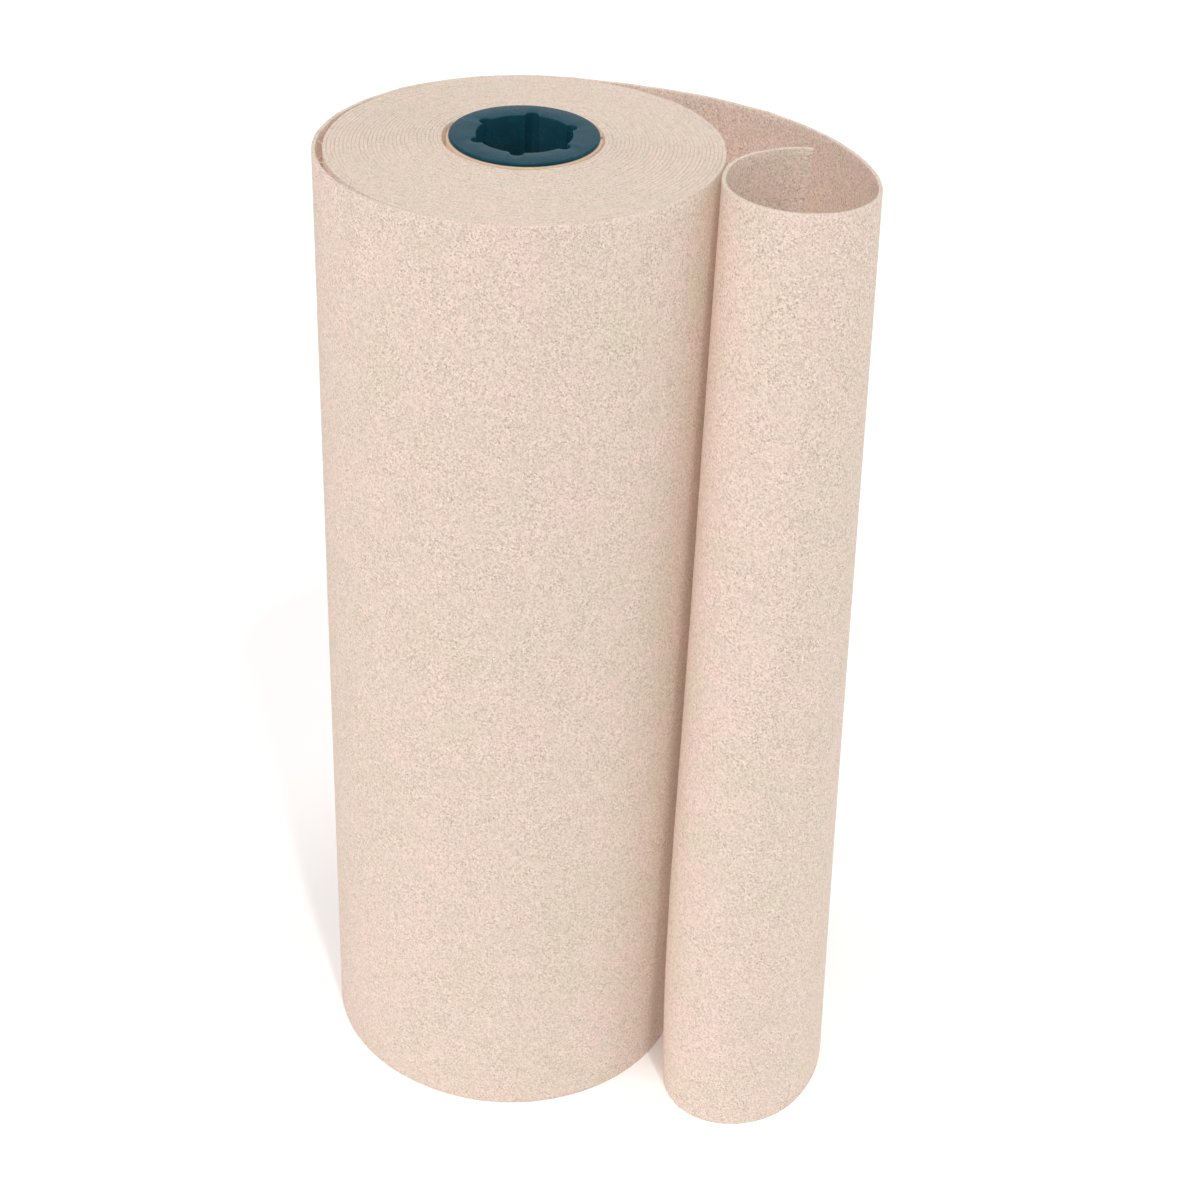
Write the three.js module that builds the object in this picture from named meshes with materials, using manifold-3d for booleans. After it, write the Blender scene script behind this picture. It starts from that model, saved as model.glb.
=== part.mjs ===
// A roll of short pile carpet stood on end, wound on a cardboard tube, with a plastic plug in the
// tube's top. The outermost turn has sprung loose: it lifts off the left side, passes round the back,
// runs off to the right and curls back in front, wider at the floor than at the top.
// Units are millimetres, +Z is up, and the roll stands on the floor at z = 0. Seen from above the
// carpet is wound clockwise outward. The front of the roll faces -Y.

import * as THREE from 'three';
import { mergeVertices } from 'three/addons/utils/BufferGeometryUtils.js';
import Module from 'manifold-3d';

// Driving dimensions

const CARPET_WIDTH = 1000; // the carpet's width is the roll's height
const PILE_THICKNESS = 3.6; // backing and pile together, and the pitch of the winding
const FIT = 0.3; // gap between pieces that touch
const LAY = 0.45; // gap under a turn that lies on the roll

const ROLL = {
  topRadius: 180, // outer face of the last tight turn, at the top
  bottomRadius: 186.5, // and at the floor, where the roll has settled wider
  flatBack: 5, // the back is this much flatter than a circle
  flatBackAzimuth: 95,
  oval: 9, // at the top the roll is pressed in this far at the back and at the front
  ovalAzimuth: 105,
  crown: 7, // the inner turns stand this proud of the outer ones
  liftAzimuth: 244, // where the loose turn comes off the last tight one
  liftStep: 0.4, // degrees taken by the step there
  segments: 120,
  crownRings: 5,
};

const TUBE = { outerRadius: 69, innerRadius: 63, segments: 96 };

const PLUG = {
  flangeRadius: 66.8,
  flangeThickness: 3,
  boreRadius: 42.7,
  notchReach: 49.5, // from the axis to the bottom of a notch
  notchWidth: 12,
  notchCount: 6,
  notchTurn: 24, // degrees, seen from above
  sleeveWall: 3,
  sleeveDepth: 62,
  collarWall: 3,
  collarDepth: 26,
  arcSteps: 5, // steps in each arc of an outline
};

// The gap between the roll and the loose turn, widest at the left
const GAP = { top: 5.5, bottom: 3.5, centreAzimuth: 191, halfWidth: 56 };

// Where the loose turn leaves the roll for good
const DEPARTURE = { topAzimuth: 77.5, middleAzimuth: 72, floorAzimuth: 72 };

// The loose end after it leaves the roll, one row for each stretch: its length along the cloth, and
// how many degrees it turns clockwise over that length at the top edge, halfway down and at the floor.
const LOOSE_END = [
  { stretch: 'back run', length: 119, topTurn: 14.5, middleTurn: 10, floorTurn: 0 },
  { stretch: 'shoulder', length: 126, topTurn: 26, middleTurn: 20, floorTurn: 23 },
  { stretch: 'right side', length: 106, topTurn: 28, middleTurn: 36, floorTurn: 41 },
  { stretch: 'right front', length: 38, topTurn: 17, middleTurn: 14, floorTurn: 9 },
  { stretch: 'front', length: 65, topTurn: 62, middleTurn: 28, floorTurn: 13.5 },
  { stretch: 'left front', length: 74, topTurn: 58, middleTurn: 51, floorTurn: 28 },
  { stretch: 'left turn', length: 62, topTurn: 56, middleTurn: 54, floorTurn: 38 },
  { stretch: 'left side', length: 35, topTurn: 24, middleTurn: 29, floorTurn: 25 },
  { stretch: 'free flap', length: 93, topTurn: 75, middleTurn: 71, floorTurn: 87 },
];
const STEPS_PER_STRETCH = 7;
const WRAP_STEPS = 40;
const SHEET_LEVELS = 9;

// Finishes

const carpet = new THREE.MeshStandardMaterial({ color: 0xe2d0c0, roughness: 0.95, metalness: 0 });
const cardboard = new THREE.MeshStandardMaterial({ color: 0xbfa17c, roughness: 0.9, metalness: 0 });
const plastic = new THREE.MeshStandardMaterial({ color: 0x24434f, roughness: 0.25, metalness: 0 });

// Helpers

const radians = THREE.MathUtils.degToRad;
const lerp = THREE.MathUtils.lerp;

function throughThree(floor, middle, top, share) {
  // A smooth change with height through the values at the floor, halfway up and at the top.
  const low = floor * (1 - share) * (1 - 2 * share);
  const high = top * share * (2 * share - 1);
  return low + middle * 4 * share * (1 - share) + high;
}

function closedGeometry(points, faces) {
  // A closed mesh from a list of points and a list of three or four sided faces.
  const positions = points.flatMap((p) => [p.x, p.y, p.z]);
  const index = [];
  for (const face of faces) {
    for (let k = 1; k + 1 < face.length; k += 1) {
      index.push(face[0], face[k], face[k + 1]);
    }
  }
  const geometry = new THREE.BufferGeometry();
  geometry.setAttribute('position', new THREE.Float32BufferAttribute(positions, 3));
  geometry.setIndex(index);
  geometry.computeVertexNormals();
  return geometry;
}

function polar(radius, angle) {
  return new THREE.Vector2(Math.cos(angle), Math.sin(angle)).multiplyScalar(radius);
}

function namedMesh(name, geometry, material) {
  const mesh = new THREE.Mesh(geometry, material);
  mesh.name = name;
  return mesh;
}

// The wound roll

function woundRadius(azimuth, height) {
  // Outer radius of the tight turns. The azimuth runs clockwise from the lift-off, so one whole
  // turn on the radius has grown by one thickness of carpet.
  const turn = (ROLL.liftAzimuth - azimuth) / 360;
  const share = height / CARPET_WIDTH;
  const base = lerp(ROLL.bottomRadius, ROLL.topRadius, share);
  const toBack = Math.max(0, Math.cos(radians(azimuth - ROLL.flatBackAzimuth)));
  const oval = ROLL.oval * share * Math.cos(radians(azimuth - ROLL.ovalAzimuth)) ** 2;
  return base - PILE_THICKNESS * (1 - turn) - ROLL.flatBack * toBack * toBack - oval;
}

function crownHeight(fraction) {
  // Height of the top face between the bore, at 0, and the outermost turn, at 1.
  return CARPET_WIDTH + ROLL.crown * 0.5 * (1 + Math.cos(Math.PI * fraction));
}

function rollGeometry() {
  const bore = TUBE.outerRadius + FIT;
  const stations = [];
  for (let i = 0; i <= ROLL.segments; i += 1) {
    const swept = (360 - ROLL.liftStep) * (i / ROLL.segments);
    const azimuth = ROLL.liftAzimuth - swept;
    const rim = woundRadius(azimuth, CARPET_WIDTH);
    const section = [
      { r: bore, z: 0 },
      { r: woundRadius(azimuth, 0), z: 0 },
      { r: rim, z: CARPET_WIDTH },
    ];
    for (let ring = ROLL.crownRings - 1; ring >= 0; ring -= 1) {
      const fraction = ring / ROLL.crownRings;
      section.push({ r: lerp(bore, rim, fraction), z: crownHeight(fraction) });
    }
    const c = Math.cos(radians(azimuth));
    const s = Math.sin(radians(azimuth));
    stations.push(section.map(({ r, z }) => new THREE.Vector3(r * c, r * s, z)));
  }
  const size = stations[0].length;
  const faces = [];
  for (let i = 0; i < stations.length; i += 1) {
    const next = (i + 1) % stations.length;
    for (let k = 0; k < size; k += 1) {
      const up = (k + 1) % size;
      faces.push([i * size + k, next * size + k, next * size + up, i * size + up].reverse());
    }
  }
  return closedGeometry(stations.flat(), faces);
}

// The loose end

function gapUnderTurn(azimuth, deepest) {
  const offset = Math.abs(azimuth - GAP.centreAzimuth) / GAP.halfWidth;
  return offset < 1 ? deepest * 0.5 * (1 + Math.cos(Math.PI * offset)) : 0;
}

function looseLine(share) {
  // Middle line of the loose end at one height, from the lift-off to the free end. The share is 0
  // at the floor and 1 at the top.
  const height = share * CARPET_WIDTH;
  const deepest = lerp(GAP.bottom, GAP.top, share);
  const { floorAzimuth, middleAzimuth, topAzimuth } = DEPARTURE;
  const departure = throughThree(floorAzimuth, middleAzimuth, topAzimuth, share);
  const start = ROLL.liftAzimuth - 180 * FIT / (Math.PI * ROLL.topRadius);
  const line = [];
  for (let i = 0; i <= WRAP_STEPS; i += 1) {
    const azimuth = lerp(start, departure, i / WRAP_STEPS);
    const inside = woundRadius(azimuth, height) + LAY + gapUnderTurn(azimuth, deepest);
    line.push(polar(inside + PILE_THICKNESS / 2, radians(azimuth)));
  }
  const last = line[WRAP_STEPS].clone();
  let heading = last.clone().sub(line[WRAP_STEPS - 1]).angle();
  for (const row of LOOSE_END) {
    const turned = throughThree(row.floorTurn, row.middleTurn, row.topTurn, share);
    const turn = radians(turned) / STEPS_PER_STRETCH;
    for (let i = 0; i < STEPS_PER_STRETCH; i += 1) {
      last.add(polar(row.length / STEPS_PER_STRETCH, heading - turn / 2));
      line.push(last.clone());
      heading -= turn;
    }
  }
  return line;
}

function sheetGeometry() {
  // One line for each height, with half the thickness of the carpet on either side of it.
  const lines = [];
  for (let level = 0; level < SHEET_LEVELS; level += 1) {
    lines.push(looseLine(level / (SHEET_LEVELS - 1)));
  }
  const end = lines[0].length - 1;
  const top = SHEET_LEVELS - 1;
  const stride = 2 * SHEET_LEVELS;
  const points = [];
  for (let i = 0; i <= end; i += 1) {
    lines.forEach((line, level) => {
      const along = line[Math.min(i + 1, end)].clone().sub(line[Math.max(i - 1, 0)]).normalize();
      const outward = new THREE.Vector2(-along.y, along.x).multiplyScalar(PILE_THICKNESS / 2);
      const z = (level / top) * CARPET_WIDTH;
      points.push(new THREE.Vector3(line[i].x + outward.x, line[i].y + outward.y, z));
      points.push(new THREE.Vector3(line[i].x - outward.x, line[i].y - outward.y, z));
    });
  }
  const outer = (i, level) => i * stride + 2 * level;
  const inner = (i, level) => i * stride + 2 * level + 1;
  const faces = [];
  for (let i = 0; i < end; i += 1) {
    for (let level = 0; level < top; level += 1) {
      faces.push([outer(i, level), outer(i, level + 1), outer(i + 1, level + 1), outer(i + 1, level)]);
      faces.push([inner(i, level), inner(i + 1, level), inner(i + 1, level + 1), inner(i, level + 1)]);
    }
    faces.push([outer(i, top), inner(i, top), inner(i + 1, top), outer(i + 1, top)]);
    faces.push([outer(i, 0), outer(i + 1, 0), inner(i + 1, 0), inner(i, 0)]);
  }
  for (let level = 0; level < top; level += 1) {
    faces.push([outer(0, level), inner(0, level), inner(0, level + 1), outer(0, level + 1)]);
    faces.push([outer(end, level), outer(end, level + 1), inner(end, level + 1), inner(end, level)]);
  }
  return closedGeometry(points, faces);
}

// The cardboard tube

function tubeGeometry() {
  const top = CARPET_WIDTH + ROLL.crown;
  const profile = [
    new THREE.Vector2(TUBE.innerRadius, 0),
    new THREE.Vector2(TUBE.outerRadius, 0),
    new THREE.Vector2(TUBE.outerRadius, top),
    new THREE.Vector2(TUBE.innerRadius, top),
    new THREE.Vector2(TUBE.innerRadius, 0),
  ];
  const geometry = new THREE.LatheGeometry(profile, TUBE.segments);
  geometry.rotateX(Math.PI / 2);
  return geometry;
}

// The plug

function notchedOutline(boreRadius, notchReach, notchWidth) {
  // A round outline with evenly spaced notches that have round ends.
  const path = new THREE.Path();
  const half = notchWidth / 2;
  const edge = Math.asin(half / boreRadius);
  const centre = notchReach - half;
  for (let i = 0; i < PLUG.notchCount; i += 1) {
    const middle = radians(PLUG.notchTurn) + (i * 2 * Math.PI) / PLUG.notchCount;
    const next = middle + (2 * Math.PI) / PLUG.notchCount;
    path.absarc(centre * Math.cos(middle), centre * Math.sin(middle), half,
      middle - Math.PI / 2, middle + Math.PI / 2, false);
    path.absarc(0, 0, boreRadius, middle + edge, next - edge, false);
  }
  path.closePath();
  return path;
}

function ringSlab(outerPath, holePath, depth, bottom) {
  const shape = new THREE.Shape(outerPath.getPoints(PLUG.arcSteps));
  shape.holes.push(new THREE.Path(holePath.getPoints(PLUG.arcSteps)));
  const geometry = new THREE.ExtrudeGeometry(shape, { depth, bevelEnabled: false, curveSegments: 1 });
  geometry.translate(0, 0, bottom);
  return geometry;
}

function circlePath(radius) {
  const path = new THREE.Path();
  for (let i = 0; i < PLUG.notchCount * 2; i += 1) {
    const eighth = Math.PI / PLUG.notchCount;
    path.absarc(0, 0, radius, i * eighth, (i + 1) * eighth, false);
  }
  return path;
}

const wasm = await Module();
wasm.setup();

function toManifold(geometry) {
  const bare = new THREE.BufferGeometry();
  bare.setAttribute('position', geometry.getAttribute('position').clone());
  if (geometry.index) {
    bare.setIndex(geometry.index.clone());
  }
  const merged = mergeVertices(bare, 1e-4);
  const vertProperties = new Float32Array(merged.getAttribute('position').array);
  const triVerts = new Uint32Array(merged.index.array);
  return new wasm.Manifold(new wasm.Mesh({ numProp: 3, vertProperties, triVerts }));
}

function toGeometry(manifold) {
  const mesh = manifold.getMesh();
  const geometry = new THREE.BufferGeometry();
  geometry.setAttribute('position', new THREE.Float32BufferAttribute(mesh.vertProperties, 3));
  geometry.setIndex(Array.from(mesh.triVerts));
  geometry.computeVertexNormals();
  return geometry;
}

function plugGeometry() {
  // A flange that rests on the tube's end, a notched sleeve for the spindle, and a collar that
  // seats in the tube. The sleeve and collar start inside the flange, so the join is one body.
  const seat = CARPET_WIDTH + ROLL.crown + FIT;
  const root = seat + PLUG.flangeThickness / 2;
  const bore = notchedOutline(PLUG.boreRadius, PLUG.notchReach, PLUG.notchWidth);
  const sleeveOutline = notchedOutline(PLUG.boreRadius + PLUG.sleeveWall,
    PLUG.notchReach + PLUG.sleeveWall, PLUG.notchWidth + 2 * PLUG.sleeveWall);
  const collarRadius = TUBE.innerRadius - FIT;
  const flange = ringSlab(circlePath(PLUG.flangeRadius), bore, PLUG.flangeThickness, seat);
  const sleeve = ringSlab(sleeveOutline, bore, PLUG.sleeveDepth, root - PLUG.sleeveDepth);
  const collar = ringSlab(circlePath(collarRadius), circlePath(collarRadius - PLUG.collarWall),
    PLUG.collarDepth, root - PLUG.collarDepth);
  const joined = toManifold(flange).add(toManifold(sleeve)).add(toManifold(collar));
  return toGeometry(joined);
}

// The whole part, with its origin on the floor under the middle of its box

const group = new THREE.Group();
group.add(namedMesh('wound_roll', rollGeometry(), carpet));
group.add(namedMesh('loose_end', sheetGeometry(), carpet));
group.add(namedMesh('core_tube', tubeGeometry(), cardboard));
group.add(namedMesh('core_plug', plugGeometry(), plastic));

const box = new THREE.Box3().setFromObject(group);
const middle = box.getCenter(new THREE.Vector3());
group.position.set(-middle.x, -middle.y, 0);

export default group;
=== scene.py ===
"""A roll of short pile carpet stood on end, with its outermost turn sprung loose.

The carpet is wound clockwise outward on a board tube, seen from above, and a moulded plug sits in the
top of the tube. The loose turn lifts off the left side, passes round the back, runs off to the right
and curls back in front of the roll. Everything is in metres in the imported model's own frame, and the
front of the roll faces -Y.
"""

import logging
import math
from collections.abc import Iterable, Sequence
from dataclasses import dataclass, field
from enum import Enum
from typing import Any

import bmesh
import bpy
from mathutils import Matrix, Vector


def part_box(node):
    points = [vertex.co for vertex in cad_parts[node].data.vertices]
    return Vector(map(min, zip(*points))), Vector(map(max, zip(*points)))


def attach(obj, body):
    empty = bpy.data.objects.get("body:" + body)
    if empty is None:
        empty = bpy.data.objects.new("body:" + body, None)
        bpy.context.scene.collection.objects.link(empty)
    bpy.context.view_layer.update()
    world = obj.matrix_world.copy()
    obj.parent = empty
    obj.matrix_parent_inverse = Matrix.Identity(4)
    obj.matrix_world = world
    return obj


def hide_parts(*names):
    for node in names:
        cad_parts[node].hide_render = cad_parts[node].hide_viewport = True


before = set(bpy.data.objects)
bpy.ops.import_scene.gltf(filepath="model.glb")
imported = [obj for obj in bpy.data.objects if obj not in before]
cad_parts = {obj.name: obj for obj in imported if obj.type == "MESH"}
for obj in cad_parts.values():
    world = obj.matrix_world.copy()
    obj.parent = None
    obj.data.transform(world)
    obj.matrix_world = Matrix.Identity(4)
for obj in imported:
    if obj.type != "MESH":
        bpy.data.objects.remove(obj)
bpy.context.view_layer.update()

# The points of each section of a strip, and how far along the strip each section lies.
Rows = tuple[list[list[Vector]], list[float]]
# A node tree's sockets by the names that its tables of steps give them.
Sockets = dict[str, bpy.types.NodeSocket]

LOG = logging.getLogger("carpet_roll")
MM = 0.001
BODY = "root"
STRIP_MAP = "strip"
SHARP_CORNER = math.radians(50)


class Slot(Enum):
    """The material slots, by name."""

    CARPET = "carpet"
    BOARD = "core_board"
    PLUG = "plug_plastic"


class Outline(Enum):
    """The two outlines that the walls of the plug follow."""

    ROUND = "round"
    NOTCHED = "notched"


# Helpers


def linear(code: str) -> tuple[float, float, float, float]:
    """Turns an sRGB hex colour into a linear one.

    Args:
        code: The colour, such as "#E2D0C0".

    Returns:
        Red, green and blue in linear light, and an alpha of 1.
    """
    shares = [int(code[i : i + 2], 16) / 255 for i in (1, 3, 5)]
    light = [s / 12.92 if s <= 0.04045 else ((s + 0.055) / 1.055) ** 2.4 for s in shares]
    return (*light, 1.0)


def add_node(
    tree: bpy.types.NodeTree, kind: str, inputs: dict[str | int, Any] | None = None, **settings: Any
) -> bpy.types.Node:
    """Adds a node with its settings and links.

    Args:
        tree: The tree that the node joins.
        kind: The node's type name.
        inputs: For a socket's name or number, the socket that it is linked from or a value.
        settings: Values for the node's own properties.

    Returns:
        The new node.
    """
    node = tree.nodes.new(kind)
    for name, value in settings.items():
        setattr(node, name, value)
    for key, value in (inputs or {}).items():
        if isinstance(value, bpy.types.NodeSocket):
            tree.links.new(value, node.inputs[key])
        else:
            node.inputs[key].default_value = value
    return node


def add_steps(tree: bpy.types.NodeTree, known: Sockets, steps: Iterable[tuple]) -> None:
    """Adds a chain of math nodes from a table of named steps.

    Args:
        tree: The tree that the nodes join.
        known: Sockets by name. The result of each step is added under the step's own name.
        steps: For each step its name, its operation, and its operands as names or numbers.
    """
    for name, operation, *operands in steps:
        values = {i: known[o] if isinstance(o, str) else o for i, o in enumerate(operands)}
        known[name] = add_node(tree, "ShaderNodeMath", values, operation=operation).outputs[0]


def new_material(name: str) -> tuple[bpy.types.Material, bpy.types.NodeTree]:
    """Makes an empty node material.

    Args:
        name: The material's name.

    Returns:
        The material and its node tree.
    """
    material = bpy.data.materials.new(name)
    material.use_nodes = True
    material.node_tree.nodes.clear()
    return material, material.node_tree


def new_object(name: str, data: bpy.types.ID) -> bpy.types.Object:
    """Links a mesh, a curve, a light or a camera into the scene as an object at the origin.

    Args:
        name: The object's name.
        data: What it shows.

    Returns:
        The object.
    """
    obj = bpy.data.objects.new(name, data)
    bpy.context.scene.collection.objects.link(obj)
    return obj


def shape_tree(name: str, sockets: Sequence[tuple[str, str]]) -> tuple[bpy.types.NodeTree, Sockets]:
    """Starts a Geometry Nodes tree with named inputs.

    Args:
        name: The tree's name.
        sockets: The name and the socket type of each input after the geometry.

    Returns:
        The tree, and the group input's sockets by name.
    """
    tree = bpy.data.node_groups.new(name, "GeometryNodeTree")
    tree.interface.new_socket("Geometry", in_out="INPUT", socket_type="NodeSocketGeometry")
    for socket_name, kind in sockets:
        tree.interface.new_socket(socket_name, in_out="INPUT", socket_type=kind)
    tree.interface.new_socket("Geometry", in_out="OUTPUT", socket_type="NodeSocketGeometry")
    group = add_node(tree, "NodeGroupInput")
    return tree, {s.name: s for s in group.outputs if s.name}


def end_tree(
    tree: bpy.types.NodeTree,
    geometry: bpy.types.NodeSocket,
    material: bpy.types.NodeSocket,
) -> None:
    """Ends a Geometry Nodes tree in Realize Instances and Set Material.

    Args:
        tree: The tree.
        geometry: The socket that gives the finished shape.
        material: The socket that gives its material.
    """
    real = add_node(tree, "GeometryNodeRealizeInstances", {"Geometry": geometry})
    dressed = add_node(
        tree, "GeometryNodeSetMaterial", {"Geometry": real.outputs[0], "Material": material}
    )
    add_node(tree, "NodeGroupOutput", {0: dressed.outputs[0]})


def run_tree(
    obj: bpy.types.Object, tree: bpy.types.NodeTree, values: dict[str, Any], name: str
) -> bpy.types.Object:
    """Runs a Geometry Nodes tree on an object and keeps the result as a plain mesh.

    Args:
        obj: The object that the tree starts from. It stays as it is.
        tree: The tree.
        values: A value for each named input.
        name: The name of the new object.

    Returns:
        The new object, with no modifier.
    """
    modifier = obj.modifiers.new(tree.name, "NODES")
    modifier.node_group = tree
    for socket in tree.interface.items_tree:
        if socket.in_out == "INPUT" and socket.name in values:
            modifier[socket.identifier] = values[socket.name]
    depsgraph = bpy.context.evaluated_depsgraph_get()
    mesh = bpy.data.meshes.new_from_object(
        obj.evaluated_get(depsgraph), preserve_all_data_layers=True, depsgraph=depsgraph
    )
    mesh.name = name
    obj.modifiers.remove(modifier)
    return new_object(name, mesh)


def place_on_axis(obj: bpy.types.Object, axis: Vector) -> None:
    """Moves a mesh that was made round the origin to stand round the roll's axis."""
    obj.data.transform(Matrix.Translation(axis))
    obj.data.update()


def tie(obj: bpy.types.Object, slot: Slot, *nodes: str) -> None:
    """Ties a finished piece to the model and logs its number of triangles.

    Args:
        obj: The piece.
        slot: Not used.
        nodes: The model's nodes that it replaces.
    """
    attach(obj, BODY)
    if nodes:
        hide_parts(*nodes)
    obj.data.calc_loop_triangles()
    LOG.info("%s: %d triangles", obj.name, len(obj.data.loop_triangles))


def ring_shell(name: str, rings: Sequence[Sequence[Vector]]) -> bpy.types.Object:
    """Joins closed rings of equally many points, and the last ring to the first, into a closed shell.

    Args:
        name: The new object's name.
        rings: The rings, in order along the section of the wall.

    Returns:
        The shell, with its faces pointing outwards and a map of turn against height.
    """
    count = len(rings[0])
    mesh = bpy.data.meshes.new(name)
    faces = []
    for i in range(len(rings)):
        after = (i + 1) % len(rings)
        for k in range(count):
            beside = (k + 1) % count
            faces.append((i * count + k, i * count + beside, after * count + beside, after * count + k))
    mesh.from_pydata([point for ring in rings for point in ring], [], faces)
    shell = bmesh.new()
    shell.from_mesh(mesh)
    bmesh.ops.recalc_face_normals(shell, faces=shell.faces)
    turn_map = shell.loops.layers.uv.new(STRIP_MAP)
    # A face that crosses the start of the turn has its low values raised by a whole turn.
    for face in shell.faces:
        turns = {loop: (loop.vert.index % count) / count for loop in face.loops}
        crosses = max(turns.values()) - min(turns.values()) > 0.5
        for loop, turn in turns.items():
            loop[turn_map].uv = (turn + 1 if crosses and turn < 0.5 else turn, loop.vert.co.z)
    shell.to_mesh(mesh)
    shell.free()
    mesh.shade_smooth()
    mesh.set_sharp_from_angle(angle=SHARP_CORNER)
    return new_object(name, mesh)


# Finishes


@dataclass(frozen=True)
class Finish:
    """What every finish has: its name, how rough and how glossy it is, and its fine relief."""

    name: str
    roughness: float
    relief: float
    relief_strength: float
    specular: float = 0.5
    ior: float = 1.45

    def surface(
        self,
        tree: bpy.types.NodeTree,
        colour: bpy.types.NodeSocket | tuple[float, ...],
        height: bpy.types.NodeSocket,
        more: dict[str, Any] | None = None,
    ) -> None:
        """Adds the finish's relief, shader and output to its tree.

        Args:
            tree: The material's tree.
            colour: The colour, or the socket that gives it.
            height: The socket that gives the height of the relief.
            more: Values or links for the shader's other sockets.
        """
        bump = add_node(
            tree,
            "ShaderNodeBump",
            {"Height": height, "Distance": self.relief, "Strength": self.relief_strength},
        )
        sockets = {
            "Base Color": colour,
            "Roughness": self.roughness,
            "IOR": self.ior,
            "Specular IOR Level": self.specular,
            "Normal": bump.outputs[0],
        }
        shader = add_node(tree, "ShaderNodeBsdfPrincipled", sockets | (more or {}))
        add_node(tree, "ShaderNodeOutputMaterial", {0: shader.outputs[0]})


@dataclass(frozen=True)
class ShortPile(Finish):
    """Needle felted short pile: matt, with light and dark fibres mixed and matted patches pinker."""

    name: str = "needle_felted_short_pile"
    pink: str = "#D9C9BE"
    beige: str = "#D3C9B9"
    clump: float = 1.6 * MM
    fibre: float = 0.9 * MM
    tuft: float = 1.5 * MM
    cluster: float = 28 * MM
    patch: float = 46 * MM
    drift: float = 170 * MM
    weave: float = 8.5 * MM
    clump_share: float = 0.45
    tuft_share: float = 0.32
    fibre_share: float = 0.5
    weave_share: float = 0.01
    dots_below: float = 0.06
    dot_depth: float = 0.9
    cluster_gain: float = 1.1
    cluster_least: float = 0.45
    patch_gain: float = 2.4
    drift_gain: float = 1.3
    speckle: float = 1.15
    edge_speckle: float = 0.75
    roughness: float = 0.95
    specular: float = 0.15
    relief: float = 3.5 * MM
    relief_strength: float = 0.2
    sheen: float = 0.12
    sheen_roughness: float = 0.5
    sheen_tint: str = "#F4E4D8"

    def material(self) -> bpy.types.Material:
        """Builds the material.

        Real fibres are finer than a render shows, so clumps and tufts of them are drawn, and the relief
        is as much too deep as they are too wide.

        Returns:
            The material, which reads the strip's own map in metres.
        """
        material, tree = new_material(self.name)
        strip = add_node(tree, "ShaderNodeUVMap", uv_map=STRIP_MAP).outputs["UV"]
        grains = {
            "clump": self.clump,
            "fibre": self.fibre,
            "cluster": self.cluster,
            "patch": self.patch,
            "drift": self.drift,
        }
        known = {}
        for grain, size in grains.items():
            noise = add_node(
                tree,
                "ShaderNodeTexNoise",
                {"Vector": strip, "Scale": 1 / size, "Detail": 2.0, "Roughness": 0.6},
                noise_dimensions="2D",
            )
            known[grain] = noise.outputs["Fac"]
        tufts = add_node(
            tree,
            "ShaderNodeTexVoronoi",
            {"Vector": strip, "Scale": 1 / self.tuft},
            voronoi_dimensions="2D",
            feature="F1",
        )
        known["tuft"] = tufts.outputs["Color"]
        place = add_node(tree, "ShaderNodeSeparateXYZ", {0: strip})
        known["along"], known["up"] = place.outputs[0], place.outputs[1]
        edge = add_node(tree, "ShaderNodeAttribute", attribute_name="cut_edge")
        known["edge"] = edge.outputs["Fac"]
        turns = math.tau / self.weave
        add_steps(
            tree,
            known,
            (
                ("rising", "ADD", "along", "up"),
                ("falling", "SUBTRACT", "along", "up"),
                ("rising_angle", "MULTIPLY", "rising", turns),
                ("falling_angle", "MULTIPLY", "falling", turns),
                ("rising_wave", "SINE", "rising_angle"),
                ("falling_wave", "SINE", "falling_angle"),
                ("diamond", "MULTIPLY", "rising_wave", "falling_wave"),
                ("clump_off", "SUBTRACT", "clump", 0.5),
                ("fibre_off", "SUBTRACT", "fibre", 0.5),
                ("tuft_off", "SUBTRACT", "tuft", 0.5),
                ("soft_grain", "MULTIPLY", "clump_off", self.clump_share),
                ("tufted", "MULTIPLY_ADD", "tuft_off", self.tuft_share, "soft_grain"),
                ("grain", "MULTIPLY_ADD", "fibre_off", self.fibre_share, "tufted"),
                ("below", "ADD", "grain", self.dots_below),
                ("dark_dots", "MINIMUM", "below", 0.0),
                ("dotted", "MULTIPLY_ADD", "dark_dots", self.dot_depth, "grain"),
                ("woven", "MULTIPLY_ADD", "diamond", self.weave_share, "dotted"),
                ("crowding", "MULTIPLY_ADD", "cluster", self.cluster_gain, self.cluster_least),
                ("crowded", "MULTIPLY", "woven", "crowding"),
                ("less", "MULTIPLY_ADD", "edge", self.edge_speckle - self.speckle, self.speckle),
                ("contrast", "MULTIPLY", "crowded", "less"),
                ("brightness", "ADD", "contrast", 1.0),
                ("patch_off", "SUBTRACT", "patch", 0.5),
                ("drift_off", "SUBTRACT", "drift", 0.5),
                ("tone", "MULTIPLY_ADD", "patch_off", self.patch_gain, 0.5),
                ("toned", "MULTIPLY_ADD", "drift_off", self.drift_gain, "tone"),
                ("pinkness", "MINIMUM", "toned", 1.0),
            ),
        )
        mixed = add_node(
            tree,
            "ShaderNodeMix",
            {0: known["pinkness"], 6: linear(self.beige), 7: linear(self.pink)},
            data_type="RGBA",
            clamp_factor=True,
        )
        colour = add_node(
            tree,
            "ShaderNodeVectorMath",
            {0: mixed.outputs[2], "Scale": known["brightness"]},
            operation="SCALE",
        )
        sheen = {
            "Sheen Weight": self.sheen,
            "Sheen Roughness": self.sheen_roughness,
            "Sheen Tint": linear(self.sheen_tint),
        }
        self.surface(tree, colour.outputs[0], known["grain"], sheen)
        return material


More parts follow.
